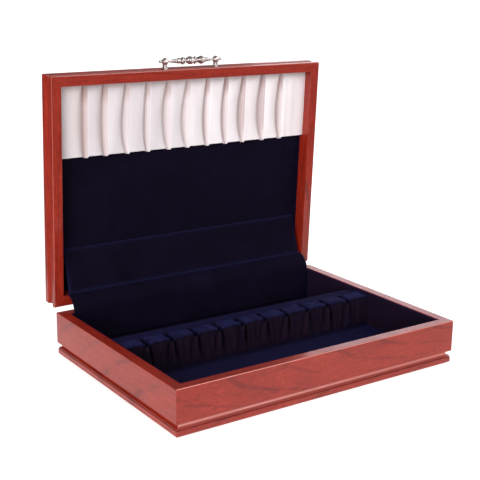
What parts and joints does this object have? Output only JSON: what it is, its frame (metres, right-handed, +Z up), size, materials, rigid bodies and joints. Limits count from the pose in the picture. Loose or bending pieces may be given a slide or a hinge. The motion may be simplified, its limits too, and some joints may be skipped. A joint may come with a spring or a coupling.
{
  "type": "flatware chest",
  "caption": "Open wooden flatware chest: coved plinth, hinged lid, velvet lining, pleated satin knife band, slotted rack and cast metal pull.",
  "frame": {"origin": "centre of the underside of the base", "axes": "+X along the length to the right seen from the front, +Y towards the hinges, +Z up; the lid stands open as in the picture"},
  "size_m": [0.4, 0.3221, 0.3615],
  "materials": {
    "cherry": "satin-gloss lacquer over red-stained cherry",
    "plywood": "bare birch plywood",
    "core_wood": "bare softwood, hidden under velvet",
    "velvet": "navy velvet pile",
    "satin": "ivory satin, pleated",
    "felt": "dark felt",
    "nickel": "polished cast nickel",
    "steel_screw": "zinc-plated steel",
    "brass": "satin brass"
  },
  "bodies": {
    "base": {"base_back_lining": "velvet", "base_back_moulding": "cherry", "base_back_wall": "cherry", "base_bottom_panel": "plywood", "base_felt": "felt", "base_floor_lining": "velvet", "base_front_lining": "velvet", "base_front_moulding": "cherry", "base_front_wall": "cherry", "base_left_lining": "velvet", "base_left_moulding": "cherry", "base_left_wall": "cherry", "base_right_lining": "velvet", "base_right_moulding": "cherry", "base_right_wall": "cherry", "hinge_base_screws": "brass", "hinge_cover": "velvet", "hinge_left_base_leaf": "brass", "hinge_left_pin": "brass", "hinge_right_base_leaf": "brass", "hinge_right_pin": "brass", "rack_bar": "core_wood", "rack_block": "core_wood", "rack_fingers": "core_wood", "rack_velvet": "velvet"},
    "lid": {"handle_bar": "nickel", "handle_left_post": "nickel", "handle_right_post": "nickel", "handle_screws": "steel_screw", "hinge_left_lid_leaf": "brass", "hinge_lid_screws": "brass", "hinge_right_lid_leaf": "brass", "lid_back_rail": "cherry", "lid_front_rail": "cherry", "lid_knife_band": "satin", "lid_left_rail": "cherry", "lid_lining_board": "velvet", "lid_ramp_panel": "velvet", "lid_right_rail": "cherry", "lid_top_board": "cherry"}
  },
  "joints": [
    {"name": "lid_hinge", "type": "hinge", "parent": "base", "child": "lid", "pos_m": [0, 0.1483, 0.0552], "axis": [1, 0, 0], "range_deg": [0, 87.7], "deforming": ["hinge_cover"]}
  ]
}
